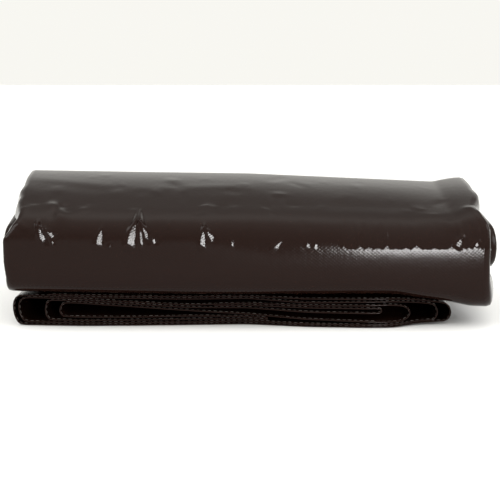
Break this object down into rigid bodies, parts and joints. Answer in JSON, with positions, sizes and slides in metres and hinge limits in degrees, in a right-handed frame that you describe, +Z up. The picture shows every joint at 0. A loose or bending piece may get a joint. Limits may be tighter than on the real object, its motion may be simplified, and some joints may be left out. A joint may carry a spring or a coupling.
{
  "type": "folded tarp",
  "caption": "Heavy glossy woven-plastic tarpaulin folded back and forth into a strip and wrapped over itself into a flat packet, its stitched hemmed end in sight.",
  "frame": {"origin": "middle of the packet's footprint, on the surface that it lies on", "axes": "+X along the folded packet's long side, to the right as seen from the front, -Y to the front where the hemmed end shows, +Z up"},
  "size_m": [0.5074, 0.24, 0.1393],
  "materials": {
    "tarp": "dark brown laminated woven sheet, glossy, with a fine plain weave showing through and fine wrinkles"
  },
  "bodies": {
    "root": {"tarp": "tarp"}
  },
  "joints": []
}
